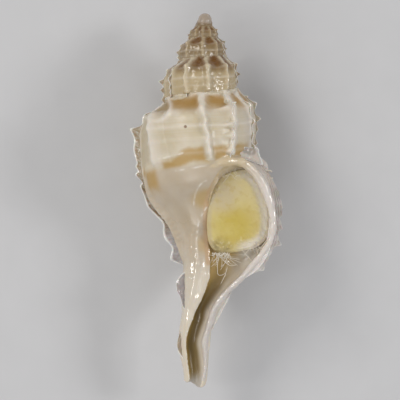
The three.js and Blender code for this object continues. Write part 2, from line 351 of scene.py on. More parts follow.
# canal and slot rows: y, middle x, half width, middle z, half depth; heart rows: radius, y
canal = {
    "rings": [[-16.6, -0.4, 1.2, 0.1, 1], [-18.6, -0.46, 1.36, 0.1, 1.2], [-19.9, 0, 1.68, 0, 1.3],
        [-21.4, 0.26, 2.08, -0.05, 1.3], [-22.7, -0.14, 1.76, -0.1, 1.22], [-23.8, -0.42, 1.4, -0.15, 1.14],
        [-25, -0.74, 1.24, -0.2, 1.06], [-26.2, -0.86, 1.2, -0.3, 1], [-27.4, -0.86, 1.12, -0.4, 0.95],
        [-28.6, -0.77, 0.94, -0.5, 0.86], [-29.6, -0.76, 0.86, -0.58, 0.74],
        [-30.2, -0.7, 0.84, -0.62, 0.68]],
    "slot": [[-19.4, 2.1, 1.7, 1.1, 1.4], [-20.8, 1.7, 1.3, 1, 1.35], [-21.6, 1.2, 1, 0.95, 1.3],
        [-22.7, 0.5, 0.66, 0.9, 1.2], [-23.7, -0.09, 0.58, 0.8, 1.02], [-24.6, -0.34, 0.66, 0.7, 0.92],
        [-25.5, -0.66, 0.66, 0.6, 0.86], [-26.4, -0.84, 0.62, 0.5, 0.82], [-27.2, -0.75, 0.66, 0.4, 0.78],
        [-28.1, -0.66, 0.66, 0.3, 0.72], [-28.9, -0.62, 0.58, 0.2, 0.64], [-30.4, -0.8, 0.35, 0.05, 0.5]],
    "slotTilt": 0.25,
    "slotFrom": -19.4,
    "slotSides": 44,
    "sides": 48,
    "steps": 80,
    "tipCutZ": [-2.5, 1.5],
    "tipCut": [[-1.9, -29.58], [-1.31, -29.6], [-1.21, -29.3], [-1.05, -29.54], [-0.9, -29.66],
        [-0.76, -29.7], [-0.64, -29.89], [-0.47, -30], [-0.18, -29.94], [0.14, -29.65], [0.34, -29.2],
        [0.5, -30.6], [-1.9, -30.6]],
    "heart": [[0.02, -0.5], [0.25, -0.8], [1.6, -5.6], [2.2, -9], [1.9, -12.5], [1.4, -15], [0.95, -18],
        [0.8, -22], [0.02, -22.1]],
}


def ringRows(table, sides, tilt=0):
    a = around(sides)
    rows = []
    for y, x, halfWidth, z, halfDepth in spline(table, canal["steps"]):
        up = halfDepth * np.sin(a)
        rows.append(np.stack([x + halfWidth * np.cos(a) + tilt * up, np.full(sides, y), z + up], -1))
    return np.array(rows)


def heartRows():
    a = around(32)
    return np.array([np.stack([r * np.cos(a), np.full(32, y), r * np.sin(a)], -1) for r, y in canal["heart"]])


# the mouth is a shallow bowl whose plane leans with the base of the whorl
mouth = {
    "rim": [[2.2, -12.66], [2.85, -12.5], [3.52, -12.6], [4.18, -13.28], [4.6, -14.1], [4.9, -14.95],
        [5.12, -15.9], [5.2, -16.8], [5.04, -17.8], [4.6, -18.62], [3.95, -19.6], [3, -20.65], [2.1, -21.4],
        [1.1, -21.85], [0.45, -21], [0.42, -19.6], [0.3, -18.2], [0.22, -17], [0.3, -15.6], [0.46, -14.68],
        [0.88, -13.78], [1.46, -13.05]],
    "bowlFrom": -1.8,
    "sides": 110,
    "steps": 34,
    "middle": [2.6, -16.3],
    "height": 1.66,
    "slopeX": -0.1,
    "slopeY": 0.17,
    "levels": [[4, 1.3], [2, 1.15], [1, 1.07], [0.3, 1.02], [0, 1], [-0.4, 0.94], [-0.7, 0.8], [-0.85, 0.5]],
}


def mouthPlane(x, y):
    return mouth["height"] + mouth["slopeX"] * (x - 2.5) + mouth["slopeY"] * (y + 16)


def levelRows(look):
    ring = spline(look["rim"], 400, closed=True)
    flat = byLength(np.vstack([ring, ring[:1]]), look["sides"] + 1)[:-1]
    middle = np.array(mouth["middle"])
    rows = []
    for z, share in spline(look["levels"], look["steps"]):
        ring = middle + (flat - middle) * share
        rows.append(np.column_stack([ring, z + mouthPlane(ring[:, 0], ring[:, 1])]))
    return np.array(rows)


# lip band round the mouth and down the canal: x, y, z, radius
lipBand = {
    "path": [[0.1, -12.4, 3.95, 0.12], [0.82, -12.14, 3.92, 0.2], [1.54, -11.94, 3.8, 0.3],
        [2.18, -11.9, 3.5, 0.33], [2.82, -11.96, 3.2, 0.35], [3.46, -12.3, 2.85, 0.37],
        [4.16, -13.04, 2.55, 0.38], [4.7, -13.92, 2.35, 0.37], [5.08, -14.86, 2.17, 0.35],
        [5.32, -15.82, 2.05, 0.32], [5.44, -16.76, 1.95, 0.28], [5.38, -17.6, 1.85, 0.26],
        [5.12, -18.4, 1.72, 0.26], [4.58, -19.22, 1.5, 0.26], [3.92, -20, 1.3, 0.26], [3.2, -20.9, 1.1, 0.26],
        [2.4, -21.7, 0.96, 0.25], [1.4, -22.72, 0.8, 0.24], [0.7, -23.76, 0.7, 0.23],
        [0.44, -24.74, 0.5, 0.21], [0.1, -25.78, 0.46, 0.2], [0, -26.6, 0.36, 0.2], [0.06, -27.2, 0.23, 0.18],
        [0.08, -27.8, 0.11, 0.16], [0.07, -28.3, 0.01, 0.14], [0.02, -28.74, -0.04, 0.13],
        [-0.12, -29.3, -0.07, 0.12]],
    "seam": [[4.45, -13.3, 2.1, 0.2], [4.68, -13.55, 2.03, 0.25], [4.85, -13.8, 1.95, 0.27],
        [4.98, -14.1, 1.88, 0.25], [5.1, -14.4, 1.83, 0.2], [5.2, -15.2, 1.78, 0.16], [5.3, -16, 1.68, 0.2],
        [5.33, -16.7, 1.6, 0.22], [5.28, -17.4, 1.56, 0.2], [5.12, -18, 1.5, 0.16]],  # fills under the band
}
lipLine = spline(lipBand["path"], 200)
# the narrow inner lip lies on the shell at the pillar side of the mouth: x, y, radius
innerLip = {
    "path": [[1.14, -13.2, 0.1], [0.62, -14, 0.15], [0.3, -14.8, 0.2], [0.14, -15.7, 0.22],
        [0.1, -16.74, 0.2], [0.15, -17.86, 0.18], [0.24, -18.98, 0.15], [0.3, -19.94, 0.1]],
    "sunk": 0.06,
}
# between the suture and the lip band the shoulder runs on past the lip: turn, depth it reaches
shoulder = {
    "reach": [[0.045, 0.45], [0.075, 0.32], [0.1, 0.19], [0.128, 0.12], [0.15, 0.09]],
    "inside": 0.3,
}


def shoulderRows():
    curve = spline(whorl["outline"], 400)[:, :2]
    rows = []
    for n, reach in spline(shoulder["reach"], 22):
        depth = np.linspace(0, reach, 16)
        outer = np.column_stack([depth, np.interp(depth, curve[:, 0], curve[:, 1])])
        flat = np.vstack([outer, [[reach, shoulder["inside"]], [0.02, shoulder["inside"]]]])
        rows.append(onWhorl(n, flat * lateShape(n)))
    return np.array(rows)


def innerLipPath(tree):  # laid on the shell as seen from the mouth side
    rows = []
    for x, y, radius in spline(innerLip["path"], 70):
        hit = tree.ray_cast(Vector(toRow(np.array([x, y, 20.0]))), Vector((0, 0, -1)))[0]
        rows.append([x, y, fromRow(np.array(hit))[2] - innerLip["sunk"], radius])
    return np.array(rows)


def shellBody():
    pieces = whorlPieces()
    others = (ringRows(canal["rings"], canal["sides"]), heartRows(), shoulderRows())
    pieces += [loft("part", rows) for rows in others] + [protoconchPiece()]
    body = joinAll(pieces[0], pieces[1:], "UNION")
    mesh = body.data
    tree = BVHTree.FromPolygons([v.co for v in mesh.vertices], [p.vertices for p in mesh.polygons])
    inner = loft("inner lip", tube(innerLipPath(tree), 16))
    tip = np.array(canal["tipCut"])
    cuts = [levelRows(mouth), ringRows(canal["slot"], canal["slotSides"], canal["slotTilt"]),
            np.array([np.column_stack([tip, np.full(len(tip), z)]) for z in canal["tipCutZ"]])]
    joinAll(body, [loft("cut", rows) for rows in cuts], "DIFFERENCE")
    seam = loft("seam", tube(spline(lipBand["seam"], 70), 12))
    joinAll(body, [loft("lip", tube(lipLine, 20)), inner, seam], "UNION")
    body.name = "shell_body"
    print("shell body joined:", len(body.data.polygons), "faces")
    return body


skin = {
    "voxel": 0.0945,
    "rounds": 5,
    "softRounds": 26,
}


def remesh(body):
    change = body.modifiers.new("remesh", "REMESH")
    change.mode = "VOXEL"
    change.voxel_size = skin["voxel"] * mm
    bake(body)
    keepOuter(body)
    soften(body, skin["rounds"])
    p = fromRow(readFrom(body.data.vertices, "co"))
    x, y = p.T[:2]
    bandGap = distanceTo(p, lipLine[::4, :3])[0]
    soft = smooth(-12.8, -13.8, y) * smooth(0.5, 0.1, x) * (1 - insideMask(p)) * smooth(0.3, 0.6, bandGap)
    group = body.vertex_groups.new(name="soft")
    for i in np.nonzero(soft > 0.05)[0]:
        group.add([int(i)], float(soft[i]), "REPLACE")
    soften(body, skin["softRounds"], "soft")
    body.vertex_groups.clear()
    print("shell body remeshed:", len(body.data.polygons), "faces")


def soften(body, rounds, group=""):
    change = body.modifiers.new("soften", "SMOOTH")
    change.factor = 0.5
    change.iterations = rounds
    change.vertex_group = group
    bake(body)


def keepOuter(body):  # drops what the remesh leaves shut in between the whorls
    work = bmesh.new()
    work.from_mesh(body.data)
    left, groups = set(work.verts), []
    while left:
        group = [left.pop()]
        for vert in group:
            fresh = {edge.other_vert(vert) for edge in vert.link_edges} & left
            left -= fresh
            group += fresh
        groups.append(group)
    largest = max(groups, key=len)
    for group in groups:
        if group is not largest:
            bmesh.ops.delete(work, geom=group, context="VERTS")
    work.to_mesh(body.data)
    work.free()


# lamellae: degrees of each turn from the right-hand side over the front
lamella = {
    "angles": {
        -5: [288, 324],
        -4: [0, 37, 68, 101, 129, 170, 209, 248, 288, 324],
        -3: [0, 29, 59, 97, 139, 180, 216, 252, 288, 324],
        -2: [0, 22, 52, 88, 121, 150, 180, 209, 238, 270, 299, 331],
        -1: [0, 29, 57, 96, 159, 186, 220, 254, 291, 318, 343],
    },
    "special": {
        (-1, 57): {"slant": 4, "tall": 1.3, "swell": 0.95, "knobs": 2.8},
        (-1, 96): {"slant": -10, "tall": 0.3, "swell": 0.95, "wide": 0.8},
        (-1, 159): {"slant": -12, "tall": 0.12, "swell": 0.75, "wide": 2.4, "knobs": 0.2, "from": 0.3},
        (-1, 0): {"tall": 0.95},
        (-1, 343): {"tall": 0.4},
        (-1, 186): {"slant": 0},
        (-2, 88): {"slant": -5},
    },
    "usual": {"slant": -2, "tall": 1, "swell": 0.45, "wide": 1, "knobs": 0.45, "from": -1},
    "spireFront": {"tall": 0.3, "swell": 1.2, "wide": 0.75},
    "spireLeft": [0.45, 1.45],
    "olderSide": 0.42,
    "youngerSide": 0.2,
    "spireYoungerSide": 0.42,
    "olderPaint": 0.32,
    "youngerPaint": 0.22,
    "reach": 1.5,
    "blade": {"foot": 0.15, "edge": 0.045, "sink": 0.12, "layers": 7},
}


def lamellae():
    found = []
    for turn, angles in lamella["angles"].items():
        for angle in angles:
            key = (turn, angle)
            onSpireFront = turn < -1 and 35 < angle < 150
            item = {**lamella["usual"], **(lamella["spireFront"] if onSpireFront else {}),
                    **lamella["special"].get(key, {})}
            item["slant"] /= 360
            found.append(dict(item, key=key, mark=turn + angle / 360, front=turn == -1 and 20 < angle < 170))
    return found


def lamellaFade(item, depth):  # on the front the lamellae stop at the callus
    start = smooth(item["from"] - 0.08, item["from"] + 0.05, depth)
    return start * (1 - smooth(1.06, 1.2, depth)) if item["front"] else start


cords = {
    "depths": [0.30, 0.55, 0.76, 1.0, 1.24, 1.44, 1.62],
    "strength": [0.6, 1.5, 0.7, 0.6, 0.6, 0.6, 0.6],
    "height": 0.022,
    "width": 0.03,
}


def whorlPlace(p):  # turn, and depth below its suture in whorl radii, of each point of the shell
    x, y, z = p.T
    across = x - axisBend(y)
    angle = np.arctan2(z, across) / circle % 1
    turn = np.full(len(p), growth["firstTurn"])
    depth = np.zeros(len(p))
    for whole in range(-6, 1):
        n = whole + angle
        d = (-y - growth["lean"] * across - dropAt(n)) / radiusAt(n)
        d = d / lateShape(n)[0]
        fits = (d > -0.03) & (n <= growth["lipEnd"] + 0.03) & (n > growth["firstTurn"])
        turn[fits] = n[fits]
        depth[fits] = d[fits]
    return turn, depth


def slotAt(p):  # middle, half width and floor of the slot at the height of each point
    table = spline(canal["slot"], canal["steps"])[::-1]
    middle, half, z, deep = (np.interp(p[:, 1], table[:, 0], table[:, k]) for k in range(1, 5))
    return middle + canal["slotTilt"] * (p[:, 2] - z), half, z - deep


def insideMask(p):  # 1 inside the mouth and the slot, seen from the front
    rim = spline(mouth["rim"], 96, closed=True)
    x, y, z = p.T
    bowl = insideOf(p[:, :2], rim) & (z > mouth["bowlFrom"])
    middle, half, floor = slotAt(p)
    slot = (np.abs(x - middle) < half) & (y < canal["slotFrom"]) & (z > floor - 0.15)
    return (bowl | slot).astype(float)


# lines that catch the light, raised and painted near-white, partly their own pale ridges and partly a painted
# highlight: dots under the lower band, pillar, callus, patch; x, y in mm
folds = [
    [[-3.6, -11.7], [-3, -11.6], [-2.4, -11.44], [-1.76, -11.28]],
    [[0.14, -15.54], [-0.14, -16.02], [-0.42, -16.66], [-0.58, -17.46], [-0.66, -18.34], [-0.58, -19.38],
        [-0.46, -20.1]],
    [[-2.3, -12.66], [-1.66, -12.58], [-1, -12.46], [-0.38, -12.34], [0.26, -12.22]],
    [[0.1, -13.46], [-0.3, -13.7], [-0.62, -14.18], [-0.82, -14.82], [-0.86, -15.54]],
]
# rounded ridges down the pillar that catch the light: x, y in mm
ridges = [
    [[-0.9, -17.2], [-1.1, -18.2], [-1.16, -19.4], [-1.12, -20.2], [-0.98, -20.9]],
    [[-0.6, -19.7], [-0.8, -21.2], [-1.02, -22.2], [-1.28, -23.4], [-1.42, -24.6], [-1.48, -25.8]],
]
# left of the front the shoulder dips between two lamellae: the dip and its white edge
shoulderDip = {
    "scoop": [[-4.46, -8.02], [-3.98, -8.06], [-3.5, -7.9], [-3.2, -7.5]],
    "edgeWidth": 0.17,
    "edge": [[-4.98, -8.22], [-4.46, -8.5], [-3.9, -8.74], [-3.5, -8.7], [-3.1, -8.42], [-2.78, -7.98],
        [-2.68, -7.46], [-2.86, -6.98], [-3.02, -6.58]],
}
# the hollow beside the upper left rim of the mouth
recessPath = [[3, -12.36], [2.2, -12.4], [1.46, -12.8], [0.98, -13.6], [0.66, -14.4], [0.5, -15]]

# what the shell's points keep for its material
shellValues = ("turn depth gap white cord callus inside across rim rimRun "
               "columella line suture recess dip front")

# fine waves on the surface: length in mm, seed, height in mm
waves = {
    "lamellae": [[1.1, 3, 0.06], [0.45, 4, 0.035]],
    "spire": [[0.45, 11, 0.02], [0.2, 12, 0.009]],
    "rim": [[0.9, 6, 0.03], [0.35, 7, 0.014], [0.2, 13, 0.007]],
}
# heights of the relief in mm, and the widths of its lines
relief = {
    "foldWidth": 0.06, "ridgeWidth": 0.2, "sutureWidth": 0.05, "creaseWidth": 0.07,
    "dipEdge": 0.08, "dip": 0.1, "line": 0.04, "suture": 0.05, "crease": 0.07, "recess": 0.12,
    "pillar": 0.008, "ridge": 0.09, "callus": 0.02, "grain": 0.008,
}


def waving(p, name):
    return sum(ripple(p, length, seed) * height for length, seed, height in waves[name])


def dressSkin(body):  # raises the lamella feet, cords and folds, and keeps the values that colour them
    p = fromRow(readFrom(body.data.vertices, "co"))
    x, y, z = p.T
    normal = readFrom(body.data.vertex_normals, "vector")
    turn, depth = whorlPlace(p)
    size = radiusAt(turn)
    scale = np.minimum(1, size / 4)
    rho = np.hypot(x - axisBend(y), z)
    inside = insideMask(p)
    bandGap, bandRun = distanceTo(p, lipLine[:, :3])
    rim = smooth(1.7, 1.05, bandGap / np.interp(bandRun, np.linspace(0, 1, len(lipLine)), lipLine[:, 3]))
    front = smooth(0, 0.5, normal[:, 2])
    columella = smooth(0.34, 0.16, lineGap(p, innerLip["path"], 60)) * (z > 0.4) * front
    onFront = smooth(-0.99, -0.96, turn) * (1 - smooth(-0.5, -0.45, turn))
    callus = np.maximum(smooth(1.16, 1.24, depth) * onFront, smooth(-16.5, -19, y))
    bare = (1 - inside) * (1 - rim)
    outer = bare * (turn > -5.0)

    lift, white, nearest = np.zeros(len(p)), np.zeros(len(p)), np.full(len(p), 9.0)
    curve = spline(whorl["outline"], 200)
    height = np.interp(depth, curve[:, 0], curve[:, 2])
    wobble = waving(p, "lamellae")
    wider = (1 + 0.6 * smooth(0.5, 0.1, depth)) * scale
    younger = np.where(turn < growth["bodyStart"], lamella["spireYoungerSide"], lamella["youngerSide"])
    for item in lamellae():
        gap = (turn - item["mark"] - item["slant"] * depth) * circle * rho + wobble * scale
        near = np.abs(gap) < lamella["reach"]
        knobs = 1 + item["knobs"] * (scallops(depth, item["mark"] * 10) - 0.2)
        side = np.where(gap < 0, lamella["olderSide"], younger * knobs) * wider * item["wide"]
        paint = np.where(gap < 0, lamella["olderPaint"], lamella["youngerPaint"] * knobs)
        paint = paint * wider * item["wide"]
        fade = lamellaFade(item, depth) * outer
        lift = np.where(near, np.maximum(lift, bell(gap, side) * item["swell"] * height * size * fade), lift)
        white = np.where(near, np.maximum(white, bell(gap, paint) * fade), white)
        nearest = np.where(near & (fade > 0.3), np.minimum(nearest, np.abs(gap)), nearest)
    dipSide = (z > -0.3) * (turn > growth["bodyStart"]) * outer
    dipEdge = bell(lineGap(p, shoulderDip["edge"]), shoulderDip["edgeWidth"]) * dipSide
    dip = smooth(0.6, 0.25, lineGap(p, shoulderDip["scoop"], 30)) * dipSide
    white = np.maximum(white, dipEdge * 0.85)
    cord = np.max([bell(depth - d, cords["width"]) * strength
                   for d, strength in zip(cords["depths"], cords["strength"])], axis=0) * outer * (1 - callus)
    strong = bell(depth - 0.3, 0.05) * smooth(-0.72, -0.62, turn) * (turn < -0.48) * outer
    cord = np.maximum(cord, strong * 2.2)
    broken = np.clip(0.6 + 0.7 * ripple(p, 0.5, 9), 0, 1)
    line = lineBell(p, folds, relief["foldWidth"]) * front * (1 - inside) * (z > 0) * broken
    broken = np.clip(0.5 + ripple(p, 0.9, 5), 0, 1)
    suture = bell(depth - 0.03, relief["sutureWidth"]) * outer * broken * (turn > -4.6)
    crease = bell(y + 0.96 + 0.1 * x, relief["creaseWidth"]) * (z > -0.1)
    onSpire = (turn < growth["bodyStart"]) * (turn > -5) * (1 - inside)
    recess = smooth(0.42, 0.16, lineGap(p, recessPath)) * front * (z > 0)
    pillar = smooth(5.5, 2.5, np.hypot(x + 0.9, y + 21)) * callus * front * bare
    lift += (dipEdge * relief["dipEdge"] - dip * relief["dip"] * (1 - dipEdge)
             + cord * cords["height"] * scale + line * relief["line"])
    lift += suture * relief["suture"] * size - crease * relief["crease"] - recess * relief["recess"] * bare
    lift += onSpire * waving(p, "spire") + rim * waving(p, "rim")
    lift += pillar * (ripple(p * [1, 0.6, 1], 0.4, 14) * relief["pillar"]
                      + lineBell(p, ridges, relief["ridgeWidth"]) * relief["ridge"])
    lift += callus * bare * ripple(p * [1, 0.35, 1], 1.0, 8) * relief["callus"] * smooth(-14.5, -17, y)
    lift += (1 - callus) * bare * ripple(p, 0.6, 10) * relief["grain"] * np.minimum(1, size / 3)
    body.data.vertices.foreach_set("co", toRow(p + normal * lift[:, None]).ravel())
    body.data.update()

    middle, half = slotAt(p)[:2]
    values = (turn, depth, nearest, white, cord, callus, inside, (x - middle) / half, rim, bandRun,
              columella, line, suture, recess, dip, front)
    for name, value in zip(shellValues.split(), values):
        setValues(body, name, value)
    print("shell body dressed")


def bladePart(turns, start, end, look):  # start and end: rows of depth and radius along the blade
    v = np.linspace(0, 1, look["layers"])
    ring = np.concatenate([v[::-1], v])
    side = np.repeat([-1, 1], len(v))
    rows = []
    for i, n in enumerate(turns):
        size = radiusAt(n)
        out = end[i] - start[i]
        tall = np.linalg.norm(out)
        reach = -look["sink"] / size + ring * (tall + look["sink"] / size)
        line = onWhorl(n, start[i] + out / tall * reach[:, None])
        thick = (look["foot"] * (1 - ring) ** 1.5 + look["edge"]) * min(1, size / 4 + 0.2)
        shift = side * thick / 2 + look["lean"][i] * ring ** 2 * tall * size
        angle = n * circle
        rows.append(line + np.array([-math.sin(angle), 0, math.cos(angle)]) * shift[:, None])
    rows = np.array(rows)
    rows[..., 2] = np.maximum(rows[..., 2], -place["axisZ"])
    return {"rows": rows, "edge": ring[None, :], "turn": np.array(turns)[:, None], "depth": start[:, :1]}


def scallops(depth, seed):  # a wavy edge with a point at each cord
    wave = 0.12 * np.sin(depth * 41 + seed * 7)
    for i, d in enumerate(cords["depths"]):
        spot = d + 0.015 * math.sin(seed * 3 + i * 2)
        wave = wave + bell(depth - spot, 0.045) * (0.8 + 0.3 * math.sin(seed * 5 + i))
    return wave


def lamellaParts():
    parts = []
    for item in lamellae():
        if item["key"] == leftBlade["key"]:
            continue
        body = item["mark"] > growth["bodyStart"]
        curve = spline(outlineOf(body), 110 if body else 64)
        seed = item["mark"] * 10
        wave = 0.6 + 0.75 * scallops(curve[:, 0], seed)
        height = curve[:, 2] * item["tall"] * lamellaFade(item, curve[:, 0]) * wave
        if not body and 120 < item["key"][1] < 240:
            height *= np.interp(curve[:, 0], [0.3, 0.6], lamella["spireLeft"])
        kept = lamellaFade(item, curve[:, 0]) > 0.04
        curve, height = curve[kept], np.maximum(height, 0.002)[kept]
        turns = item["mark"] + item["slant"] * curve[:, 0]
        start, end = [], []
        for i, n in enumerate(turns):
            flat, out = outlineAt(n, curve)
            start.append(flat[i])
            end.append(flat[i] + out[i] * height[i])
        look = dict(lamella["blade"], lean=0.15 + 0.3 * np.sin(curve[:, 0] * circle / 0.23 + seed))
        parts.append(bladePart(turns, np.array(start), np.array(end), look))
    return parts


# the large lamella on the left, whose edge is drawn out further: depth and radius of the edge, in whorl radii
leftBlade = {
    "key": (-1, 186),
    "lean": 0.2,
    "edge": [[0, 0.6], [0.08, 0.7], [0.16, 0.79], [0.24, 0.93], [0.4, 0.97], [0.47, 1.13], [0.53, 1.12],
        [0.64, 1.075], [0.8, 1.088], [0.967, 1.036], [1.03, 1.058], [1.1, 1.018], [1.164, 1.058],
        [1.26, 0.952], [1.32, 0.982], [1.505, 0.912], [1.629, 0.864], [1.723, 0.758], [1.835, 0.64],
        [1.96, 0.64], [2.066, 0.6], [2.184, 0.49], [2.344, 0.5], [2.38, 0.46], [2.4, 0.3]],
}


def flarePart(look, edge, n, lean, share=1, calm=0, jag=0):  # a blade drawn out to an edge of its own
    count = 170
    curve = byLength(spline(whorl["outline"], 400), count)
    flat = outlineAt(n, curve)[0]
    edge = byLength(spline(edge, 600), count) * lateShape(n)
    reach = edge - flat
    even = np.column_stack([
        np.convolve(np.pad(column, 12, "edge"), np.ones(25) / 25, "valid") for column in reach.T])
    jags = 1 + jag * ripple(np.column_stack([edge, np.full(count, n)]), 0.06, 31)[:, None]
    edge = flat + (reach + (even - reach) * calm) * share * jags
    wave = 0.12 * np.sin(flat[:, 0] * circle / 0.21 + n * 9)
    return bladePart([n] * count, flat, edge, dict(look, lean=lean + wave))


# the lip frill: thin skirts one behind the other, each reaching further out than the one in front;
# for each the turn, how it leans, its share of the full reach, how even its edge is and how jagged
frill = {
    "edge": [[-0.03, 0.62], [-0.03, 0.72], [0.02, 0.735], [0.1, 0.76], [0.174, 0.79], [0.27, 0.861],
        [0.33, 0.9], [0.38, 0.93], [0.505, 1.004], [0.6, 1.04], [0.697, 1.066], [0.8, 1.068], [0.845, 1.066],
        [0.91, 1.041], [1.01, 1.073], [1.1, 1.02], [1.17, 1.04], [1.243, 1.055], [1.3, 0.958], [1.4, 0.91],
        [1.487, 0.881], [1.57, 0.87], [1.611, 0.854], [1.65, 0.72], [1.7, 0.66], [1.8, 0.51], [1.916, 0.403],
        [2.06, 0.332], [2.2, 0.271], [2.32, 0.235], [2.44, 0.16]],
    "skirts": [[0.049, 0.1, 0.42, 0.9, 0.08], [0.038, 0.1, 0.66, 0.8, 0.08], [0.028, 0.1, 0.86, 0.6, 0.08],
        [0.016, 0.12, 1, 0, 0.07]],
    "blade": {"foot": 0.12, "edge": 0.03, "sink": 0.15, "layers": 12},
}


# thin flat plates: two flanges left on the pillar by earlier lips, and the corner of the frill above
# the lip; for each its height and slope, and the turn and depth that colour it
plates = {
    "shares": [0.04, 0.3, 0.55, 0.78, 0.92, 0.985, 1],
    "thickness": 0.09,
    "list": [
        [-0.1, -0.36, -0.5, 2.2, [[-1.4, -20.8], [-2.2, -21.35], [-2.27, -22.1], [-1.98, -22.7],
            [-1.65, -23.7], [-1.1, -23.7]]],
        [-0.35, -0.25, -0.4, 1.0, [[-1.6, -24.3], [-1.84, -24.4], [-1.9, -25.2], [-2.22, -26.3], [-2.18, -27],
            [-1.8, -27.6], [-1.62, -27.7], [-1.6, -26]]],
        [5.45, -0.9, 0.02, 0.2, [[2.1, -11.7], [2.34, -11.35], [2.66, -11.05], [2.94, -10.82], [3.22, -10.76],
            [3.6, -10.81], [4.06, -10.75], [4.3, -10.95], [4.34, -11.3], [4.53, -11.76], [4.62, -12.15],
            [4.2, -12.1], [3.7, -11.9], [3.1, -11.75], [2.6, -11.75]]],
    ],
}


def platePart(height, slope, turn, depth, outline):
    flat = spline(outline, 90, closed=True)
    middle = flat.mean(0)
    shares = plates["shares"]
    rings = [(share, 1) for share in shares] + [(share, -1) for share in reversed(shares)]
    rows = []
    for share, side in rings:
        ring = middle + (flat - middle) * share
        thick = plates["thickness"] * (0.25 + 0.75 * (1 - share ** 4))
        x, y = ring.T
        wave = 0.025 * np.sin(y * 9 + x * 5) + 0.03 * np.sin(x * 16 - y * 7)
        z = height + slope * x + side * thick / 2 + wave
        rows.append(np.column_stack([ring, z]))
    edge = np.array([[0.25 + 0.75 * share ** 2] for share, side in rings])
    return {"rows": np.array(rows), "edge": edge, "turn": turn, "depth": depth}


operculum = {
    "rim": [[2.2, -12.72], [2.86, -12.56], [3.54, -12.64], [4.2, -13.28], [4.66, -14.07], [4.96, -14.93],
        [5.18, -15.9], [5.24, -16.8], [5.06, -17.76], [4.56, -18.45], [3.84, -18.86], [3.06, -19.03],
        [2.26, -19.15], [1.46, -19.23], [0.76, -19], [0.3, -18.3], [0.16, -17], [0.24, -15.6], [0.4, -14.66],
        [0.82, -13.76], [1.42, -13.04]],
    "levels": [[-0.35, 0.93], [-0.2, 0.98], [-0.08, 1], [0.04, 0.985], [0.13, 0.93], [0.23, 0.8],
        [0.31, 0.58], [0.34, 0.3], [0.35, 0.02]],
    "lumps": [[1.3, -18.9, 0.22, 0.16], [1.5, -18.25, 0.2, 0.07], [1.95, -18.4, 0.18, 0.07],
        [0.65, -18.2, 0.16, 0.08], [2.9, -18.1, 0.25, 0.05], [1, -18.6, 0.14, 0.07],
        [1.1, -13.98, 0.12, 0.08], [0.86, -14.42, 0.09, 0.06], [2.1, -18.62, 0.12, 0.07],
        [1.8, -18.75, 0.1, 0.07], [4.3, -17.6, 0.12, 0.05], [3.15, -12.85, 0.1, 0.05]],
    "beadLine": [[4.6, -13.6], [4.72, -14.3], [4.86, -15.2], [4.92, -16.1], [4.94, -17], [4.7, -17.8],
        [4.1, -18.5], [3.2, -18.8], [2.2, -18.95]],
    "beadStep": 0.16,
    "beadWidth": 0.07,
    "beadHeight": 0.05,
    "sides": 420,
    "steps": 80,
}


def operculumPiece():
    rows = levelRows(operculum)
    flat = rows.reshape(-1, 3)
    x, y = flat.T[:2]
    # where the lumps are, for their painted glint
    lump = np.zeros(len(flat))
    for lumpX, lumpY, width, height in operculum["lumps"]:
        here = bell(np.hypot(x - lumpX, y - lumpY), width)
        flat[:, 2] += height * here
        lump = np.maximum(lump, here * (0.6 + 0.4 * ripple(flat, 0.22, 24)))
    gap, along = distanceTo(flat[:, :2], spline(operculum["beadLine"], 60))
    beads = 0.5 + 0.5 * np.sin(along * circle * 7.4 / operculum["beadStep"] + ripple(flat, 0.8, 21) * 2)
    flat[:, 2] += bell(gap, operculum["beadWidth"]) * beads * operculum["beadHeight"]
    margin = smooth(-0.4, 0.9, x - 3.9 + 0.5 * np.abs(y + 16)) + smooth(-18, -18.6, y)
    flat[:, 2] += (ripple(flat, 0.34, 22) * 0.014 * (0.3 + margin)
                   + ripple(flat, 0.16, 23) * 0.008 * (0.2 + margin))
    piece = loft("operculum_plate", rows)
    rim = spline(operculum["rim"], 120, closed=True)
    setValues(piece, "margin", distanceTo(flat[:, :2], np.vstack([rim, rim[:1]]))[0])
    setValues(piece, "lump", lump)
    return piece


